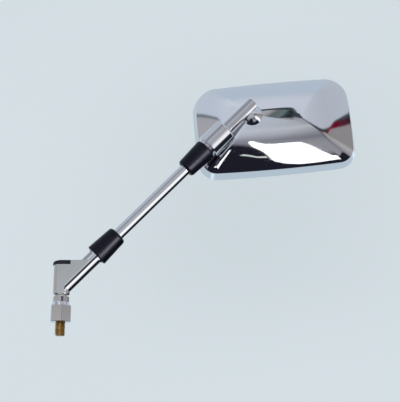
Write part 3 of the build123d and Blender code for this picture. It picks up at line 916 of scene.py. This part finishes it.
# Studio
def glow(name, bm, code, strength, receivers=()):
    """A card that shows only in reflections.

    It adds light on its receivers. Without receivers it covers what is behind it, on every piece.
    """
    mesh = bpy.data.meshes.new(name)
    bm.to_mesh(mesh)
    bm.free()
    material = bpy.data.materials.new(name)
    material.use_nodes = True
    tree = material.node_tree
    share = add(tree, "ShaderNodeAttribute", attribute_name="glow").outputs["Fac"]
    light = add(tree, "ShaderNodeEmission", {"Color": colour(code), "Strength": strength})
    clear = add(tree, "ShaderNodeBsdfTransparent").outputs[0]
    if receivers:
        power = add(tree, "ShaderNodeMath", {0: share, 1: strength}, operation="MULTIPLY").outputs[0]
        tree.links.new(power, light.inputs["Strength"])
        both = add(tree, "ShaderNodeAddShader", {0: light.outputs[0], 1: clear}).outputs[0]
    else:
        both = add(tree, "ShaderNodeMixShader", {"Fac": share, 1: clear, 2: light.outputs[0]}).outputs[0]
    tree.links.new(both, tree.nodes["Material Output"].inputs["Surface"])
    mesh.materials.append(material)
    thing = bpy.data.objects.new(name, mesh)
    scene.collection.objects.link(thing)
    thing.visible_camera = thing.visible_diffuse = thing.visible_shadow = False
    if receivers:
        seen_by = bpy.data.collections.new(name)
        for receiver in receivers:
            seen_by.objects.link(receiver)
        thing.light_linking.receiver_collection = seen_by


def way_to(azimuth, elevation):
    """The way towards a point of the studio, both angles in degrees."""
    flat = cos(radians(elevation))
    return Vector((flat * sin(radians(azimuth)), -flat * cos(radians(azimuth)), sin(radians(elevation))))


HEAD_MIDDLE = Vector((0.215, 0.015, 0.2))
STUD_MIDDLE = Vector((0, 0, -0.007))
CARD_AWAY = 1.2


def flat_card(name, outline, rounding, code, strength, middle_point, receiver):
    """A flat card that shows on one piece, its outline in azimuth and elevation from a point of it."""
    ways = [way_to(*point) for point in outline]
    middle = sum(ways, Vector()).normalized()
    bm = bmesh.new()
    share = bm.verts.layers.float.new("glow")
    corners = [bm.verts.new(middle_point + way * CARD_AWAY / way.dot(middle)) for way in ways]
    bm.faces.new(corners)
    bmesh.ops.bevel(
        bm, geom=bm.verts[:], offset=rounding, segments=4, profile=0.5, affect="VERTICES", material=-1
    )
    for vert in bm.verts:
        vert[share] = 1.0
    glow(name, bm, code, strength, [receiver])


STRIP_AWAY = 0.6
FLAG_AWAY = 0.15
TABLE_AWAY = 1.2
SHEET = 0.0001
TABLE_TINT = "#C6D4DE"


def arm_strip(name, start, end, marks, code, strength, away=STRIP_AWAY, receivers=()):
    """A bent strip beside the arm, from start to end along it.

    Each mark is an angle about the arm and the share of the strip's light there.
    """
    bm = bmesh.new()
    bmesh.ops.create_grid(bm, x_segments=1, y_segments=len(marks) - 1, size=1.0)
    share = bm.verts.layers.float.new("glow")
    for vert in bm.verts:
        angle, vert[share] = marks[round((vert.co.y + 1) / 2 * (len(marks) - 1))]
        out = Vector((0, -cos(radians(angle)), 0)) + ARM_SIDE * sin(radians(angle))
        vert.co = ARM_ROOT * MM + ARM_ALONG * (end if vert.co.x > 0 else start) + out * away
    glow(name, bm, code, strength, receivers)


flat_card(
    "softbox",
    (
        (5, -24.3), (5.1, -22.2), (5.9, -23.4), (6.8, -26.8), (8.4, -30), (10.3, -31.5),
        (12.2, -31.1), (14.9, -31.8), (19.4, -39.7), (27.8, -50.3), (37.1, -56.8), (53.6, -53.6),
        (44.5, -62.3), (41.6, -64.1), (37.4, -65.4), (29.8, -64.5), (22, -61), (19.1, -58.3),
        (14.4, -51.3), (11.3, -45), (8.7, -39.1), (6.7, -33.4),
    ),
    0.006,
    "#FFFFFF",
    1.6,
    HEAD_MIDDLE,
    shell_piece,
)
flat_card(
    "hip_strip",
    (
        (-43.1, -45.3), (-18.1, -45.4), (-0.9, -40.4), (3.5, -37.2),
        (3.7, -43.6), (2.7, -56.1), (-15.4, -63.3), (-30.1, -54.4),
    ),
    0.006,
    "#FFFFFF",
    1.3,
    HEAD_MIDDLE,
    shell_piece,
)
flat_card(
    "green_strip",
    (
        (7, -49), (7.3, -46.8), (9.5, -49.1), (12.2, -52.2),
        (14.5, -52.3), (16.3, -55.4), (13.1, -54.5), (9.7, -51.3),
    ),
    0.002,
    "#E2E8DE",
    0.9,
    HEAD_MIDDLE,
    shell_piece,
)
arm_strip(
    "arm_strip",
    -0.05,
    0.345,
    ((-20, 0.0), (12, 0.2), (32, 0.6), (50, 1.0), (76, 1.0), (90, 0.0)),
    "#FFFFFF",
    1.1,
    receivers=[base_piece, rod_piece],
)
arm_strip(
    "boot_strip",
    -0.05,
    0.345,
    ((25, 0.0), (38, 1.0), (52, 1.0), (66, 0.0)),
    "#F2F2FF",
    15.0,
    receivers=[lower_boot, upper_boot],
)
arm_strip(
    "barrel_strip",
    0.345,
    0.395,
    ((-20, 0.0), (10, 0.25), (30, 0.7), (44, 1.0), (57, 1.0), (68, 0.0)),
    "#FFFFFF",
    0.8,
    receivers=[neck_piece],
)
arm_strip(
    "finger_strip",
    0.395,
    0.56,
    ((-20, 0.0), (10, 0.15), (26, 0.35), (36, 1.0), (112, 1.0), (125, 0.0)),
    "#FFFFFF",
    1.1,
    receivers=[neck_piece],
)
flat_card(
    "stud_strip",
    ((-14, -65), (-14, 65), (34, 65), (34, -65)),
    0.01,
    "#FFF6F0",
    0.7,
    STUD_MIDDLE,
    stud_piece,
)

# Grey flags beside the arm give its chrome the dark lines beside the highlight
FLAG_SPAN = (0.07, 0.33)
UPPER_FLAG = ((-125, 0.0), (-112, 0.25), (-58, 0.25), (-48, 1.0), (-36, 1.0), (-22, 0.0))
WALL_FLAG = ((-34, 0.0), (-24, 1.0), (-12, 0.9), (0, 0.7), (12, 0.45), (22, 0.0))
TUBE_FLAG = ((-125, 0.0), (-110, 1.0), (-66, 1.0), (-40, 0.0))
TUBE_LINE = ((4, 0.0), (10, 1.0), (35, 1.0), (43, 0.0))
arm_strip("upper_flag", *FLAG_SPAN, UPPER_FLAG, "#8E9098", 1.0, away=FLAG_AWAY)
arm_strip("wall_flag", *FLAG_SPAN, WALL_FLAG, "#B6B6BC", 1.0, away=FLAG_AWAY + 2 * SHEET)
arm_strip("tube_flag", -0.04, 0.063, TUBE_FLAG, "#999AA1", 1.0, away=FLAG_AWAY)
arm_strip("tube_line", 0.008, 0.06, TUBE_LINE, "#4A4A50", 1.0, away=FLAG_AWAY)

# The head gets back the light that the flags and the dark side of the table take from it
for name, marks, code, away in (
    ("flag_fill", UPPER_FLAG, "#A4ABB4", FLAG_AWAY - SHEET),
    ("wall_fill", WALL_FLAG, "#707C8B", FLAG_AWAY + SHEET),
):
    arm_strip(name, *FLAG_SPAN, marks, code, 1.0, away=away, receivers=[shell_piece])
arm_strip(
    "table_fill",
    -1.5,
    1.5,
    ((104, 0.0), (112, 0.35), (120, 0.8), (130, 1.0), (152, 1.0), (160, 0.6), (168, 0.0)),
    TABLE_TINT,
    1.0,
    away=TABLE_AWAY,
    receivers=[shell_piece, neck_piece, gland_piece],
)

world = bpy.data.worlds.new("studio")
scene.world = world
world.use_nodes = True
tree = world.node_tree
tree.nodes.clear()
ray = add(tree, "ShaderNodeLightPath").outputs
way = add(tree, "ShaderNodeTexCoord").outputs["Generated"]
look = add(tree, "ShaderNodeSeparateXYZ", {"Vector": way}).outputs
front = add(tree, "ShaderNodeMath", {0: look["Y"], 1: -1.0}, operation="MULTIPLY").outputs[0]
azimuth = add(tree, "ShaderNodeMath", {0: look["X"], 1: front}, operation="ARCTAN2").outputs[0]
elevation = add(tree, "ShaderNodeMath", {0: look["Z"]}, operation="ARCSINE").outputs[0]

# Azimuth from the hump behind the camera, spread so that the room is finest there
HUMP = 5.0
SPREAD = 12.0


def turned(at):
    """The same spread for a mark in degrees."""
    return (at - HUMP) / (abs(at - HUMP) + SPREAD) / 2 + 0.5


aside = add(tree, "ShaderNodeMath", {0: azimuth, 1: radians(HUMP)}, operation="SUBTRACT").outputs[0]
spread = add(tree, "ShaderNodeMath", {0: aside}, operation="ABSOLUTE").outputs[0]
spread = add(tree, "ShaderNodeMath", {0: spread, 1: radians(SPREAD)}, operation="ADD").outputs[0]
turn = add(tree, "ShaderNodeMath", {0: aside, 1: spread}, operation="DIVIDE").outputs[0]
turn = add(tree, "ShaderNodeMath", {0: turn, 1: 0.5, 2: 0.5}, operation="MULTIPLY_ADD").outputs[0]
smooth = {"interpolation_type": "SMOOTHSTEP"}
blend = {"data_type": "RGBA"}

# Lines round the room, each an elevation in degrees by azimuth: where the sky starts, the dark eaves and
# the far wall below it, and where the black floor starts
LINES = {
    "skyline": (
        (-180, 17), (-50, 16.9), (-37, 16.2), (-20, 20), (-8, 30), (0, 39), (3, 41.2), (4.7, 40.8),
        (5.3, 39), (5.6, 33.6), (6, 25.4), (7, 21.5), (10.8, 20), (31.5, 19.8), (51.7, 21.1), (63.6, 23),
        (74.6, 24), (91, 25.1), (180, 25.5),
    ),
    "eaves": (
        (-180, 16.4), (-50, 16.4), (-37, 15.7), (-20, 19), (-8, 27), (0, 35), (3, 37.5), (4.4, 36),
        (5.3, 32), (5.6, 27), (6, 20), (7, 15.5), (10.8, 8), (20, 8), (31.5, 14), (45, 19.5), (51.7, 21),
        (63.6, 22.8), (74.6, 23.5), (91, 24.4), (180, 25),
    ),
    "ledge": (
        (-180, 16.2), (-50, 16.2), (-37, 15.5), (-20, 18), (-8, 20), (3, 19.8), (5.3, 19.8), (6.2, 14.5),
        (6.9, 10.4), (8.2, 4), (15.2, 1.3), (25.8, 2.7), (33, 8), (42, 16), (50.8, 20.2), (64.3, 21.7),
        (77.4, 22.6), (87.5, 23.2), (180, 24),
    ),
    "floor": (
        (-180, -20), (-12, -23), (3, -26), (6, -28), (9, -34), (12, -42), (16, -48),
        (24, -53), (34, -55), (44, -50), (50, -40), (57, -25), (65, -20), (180, -18),
    ),
}
over = {}
for name, marks in LINES.items():
    curve = add(tree, "ShaderNodeFloatCurve", {"Value": turn}, label=name)
    points = curve.mapping.curves[0].points
    while len(points) < len(marks):
        points.new(0.5, 0.5)
    for point, (at, height) in zip(points, marks):
        point.location = (turned(at), (height + 90) / 180)
        point.handle_type = "AUTO_CLAMPED"
    curve.mapping.update()
    share = curve.outputs["Value"]
    line = add(tree, "ShaderNodeMath", {0: share, 1: pi, 2: -pi / 2}, operation="MULTIPLY_ADD").outputs[0]
    over[name] = add(tree, "ShaderNodeMath", {0: elevation, 1: line}, operation="SUBTRACT").outputs[0]

# Colours of the room: walls by elevation, shaded by azimuth, the far wall and the sky by azimuth
WALL = (
    (-60, "#9E9DA1"), (-30, "#9A9AA0"), (-23, "#8E8E98"), (-12, "#B8B8C0"), (0, "#CBCCD0"),
    (9, "#AFB1B3"), (16, "#A5A5A7"),
)
SHADE = (
    (-180, "#FFF7F2"), (-42, "#FFF7F2"), (-24, "#FCFEFF"), (8, "#FCFEFF"), (13, "#CFCDCC"),
    (20, "#9A9392"), (27, "#A09897"), (34, "#D9D4D0"), (60, "#ECE6E2"),
)
FAR_WALL = (
    (-12, "#8A8A90"), (2, "#9EA2A2"), (3.2, "#B4B4B4"), (3.7, "#A6A2A2"), (4.1, "#5E686A"),
    (4.6, "#6A7879"), (4.9, "#728283"), (5.05, "#3B484A"), (5.2, "#1F2730"), (5.6, "#161B22"),
    (5.85, "#3B4B4E"), (6.1, "#AAA9AF"), (9, "#A6A6AC"), (14, "#80868A"), (25, "#5A5256"),
    (40, "#4A3038"), (50, "#8A2038"), (66, "#6E1229"), (77, "#5C2434"), (90, "#40202C"),
)
SKY = (
    (-180, "#CAD2DD"), (-60, "#C9D1DD"), (-25, "#DDE2EC"), (0, "#D8DCE7"), (9, "#D5D8E3"),
    (25, "#C8CBD6"), (50, "#C1C4CE"), (95, "#C3C9D3"), (180, "#CAD2DD"),
)
EAVES_TINT = "#3E464A"
FLOOR_TINT = "#20202B"
ZENITH_TINT = "#C2CEDB"
lift = add(
    tree, "ShaderNodeMapRange", {"Value": elevation, "From Min": -pi / 2, "From Max": pi / 2}
).outputs["Result"]
wall = stops(add(tree, "ShaderNodeValToRGB", {"Fac": lift}), *(((at + 90) / 180, code) for at, code in WALL))
shade, far_wall, sky = (
    stops(add(tree, "ShaderNodeValToRGB", {"Fac": turn}), *((turned(at), code) for at, code in marks))
    for marks in (SHADE, FAR_WALL, SKY)
)
deep = add(
    tree,
    "ShaderNodeMapRange",
    {"Value": elevation, "From Min": radians(-38), "From Max": radians(-8)},
    **smooth,
).outputs["Result"]
room = add(
    tree, "ShaderNodeMix", {"Factor": deep, 6: wall, 7: shade}, blend_type="MULTIPLY", **blend
).outputs[2]
zenith = add(
    tree,
    "ShaderNodeMapRange",
    {"Value": elevation, "From Min": radians(58), "From Max": radians(84)},
    **smooth,
).outputs["Result"]
sky = add(tree, "ShaderNodeMix", {"Factor": zenith, 6: sky, 7: colour(ZENITH_TINT)}, **blend).outputs[2]
# Each line with its blur in degrees, and what lies below and above it, where None is the room so far
for name, blur, below, above in (
    ("ledge", 0.25, None, far_wall),
    ("eaves", 0.2, None, colour(EAVES_TINT)),
    ("skyline", 0.25, None, sky),
    ("floor", 4, colour(FLOOR_TINT), None),
):
    step = add(
        tree,
        "ShaderNodeMapRange",
        {"Value": over[name], "From Min": radians(-blur), "From Max": radians(blur)},
        **smooth,
    ).outputs["Result"]
    room = add(
        tree, "ShaderNodeMix", {"Factor": step, 6: below or room, 7: above or room}, **blend
    ).outputs[2]

# The pale table lies behind the head, dark on the arm's lower side
TABLE_DARK = "#12131C"
behind = add(
    tree, "ShaderNodeMapRange", {"Value": look["Y"], "From Min": 0.3, "From Max": 0.65}, **smooth
).outputs["Result"]
beside = add(tree, "ShaderNodeVectorMath", {0: way, 1: ARM_SIDE}, operation="DOT_PRODUCT").outputs["Value"]
dark = add(
    tree, "ShaderNodeMapRange", {"Value": beside, "From Min": 0.2, "From Max": 0.45}, **smooth
).outputs["Result"]
table = add(
    tree, "ShaderNodeMix", {"Factor": dark, 6: colour(TABLE_TINT), 7: colour(TABLE_DARK)}, **blend
).outputs[2]
room = add(tree, "ShaderNodeMix", {"Factor": behind, 6: room, 7: table}, **blend).outputs[2]

# Reflections show the room, the camera sees a plain backdrop, and a soft grey lights the rest
FILL_TINT = "#B9C2C8"
BACKDROP_TINT = "#D2DDE3"
seen = add(
    tree, "ShaderNodeMix", {"Factor": ray["Is Glossy Ray"], 6: colour(FILL_TINT), 7: room}, **blend
).outputs[2]
seen = add(
    tree, "ShaderNodeMix", {"Factor": ray["Is Camera Ray"], 6: seen, 7: colour(BACKDROP_TINT)}, **blend
).outputs[2]
background = add(tree, "ShaderNodeBackground", {"Color": seen}).outputs["Background"]
add(tree, "ShaderNodeOutputWorld", {"Surface": background})

# A broad lamp behind the camera
LAMP_PLACE = Vector((0.12, -1.25, 0.12))
LAMP_AIM = Vector((0.15, 0.03, 0.15))
lamp = bpy.data.lights.new("broad_lamp", "AREA")
lamp.shape = "RECTANGLE"
lamp.size = 1.8
lamp.size_y = 1.5
lamp.energy = 10.0
lamp_holder = bpy.data.objects.new("broad_lamp", lamp)
lamp_holder.location = LAMP_PLACE
lamp_holder.rotation_euler = (LAMP_AIM - LAMP_PLACE).to_track_quat("-Z", "Y").to_euler()
lamp_holder.visible_glossy = False
scene.collection.objects.link(lamp_holder)

# A pale board behind the mirror, clear of its poses and seen from the front alone, which keeps the shadow
BOARD_MIDDLE = (0.15, 0.36, 0.15)
BOARD_HALF = 1.5
upright = Matrix.Translation(BOARD_MIDDLE) @ Matrix.Rotation(radians(90), 4, "X")
bm = bmesh.new()
bmesh.ops.create_grid(bm, x_segments=1, y_segments=1, size=BOARD_HALF, matrix=upright)
board_mesh = bpy.data.meshes.new("board")
bm.to_mesh(board_mesh)
bm.free()
# Matt painted board: an even pale ground with almost no shine
board_material = bpy.data.materials.new("matt_painted_board")
board_material.use_nodes = True
tree = board_material.node_tree
shader = tree.nodes["Principled BSDF"]
shader.inputs["Base Color"].default_value = colour("#F1F5F6")
shader.inputs["Roughness"].default_value = 0.9
shader.inputs["Specular IOR Level"].default_value = 0.1
side = add(tree, "ShaderNodeNewGeometry").outputs["Backfacing"]
clear = add(tree, "ShaderNodeBsdfTransparent").outputs[0]
one_sided = add(tree, "ShaderNodeMixShader", {"Fac": side, 1: shader.outputs[0], 2: clear}).outputs[0]
tree.links.new(one_sided, tree.nodes["Material Output"].inputs["Surface"])
board_mesh.materials.append(board_material)
board = bpy.data.objects.new("board", board_mesh)
scene.collection.objects.link(board)
board.visible_glossy = False

# Camera: as far away as the photograph's, below the arm and looking up
CAMERA_PLACE = (0.137, -0.940, -0.129)
camera_data = bpy.data.cameras.new("camera")
camera_data.lens = 86.0
camera_data.sensor_width = 36.0
camera = bpy.data.objects.new("camera", camera_data)
camera.location = CAMERA_PLACE
camera.rotation_euler = (radians(105), 0, 0)
scene.collection.objects.link(camera)
scene.camera = camera

bpy.context.view_layer.update()
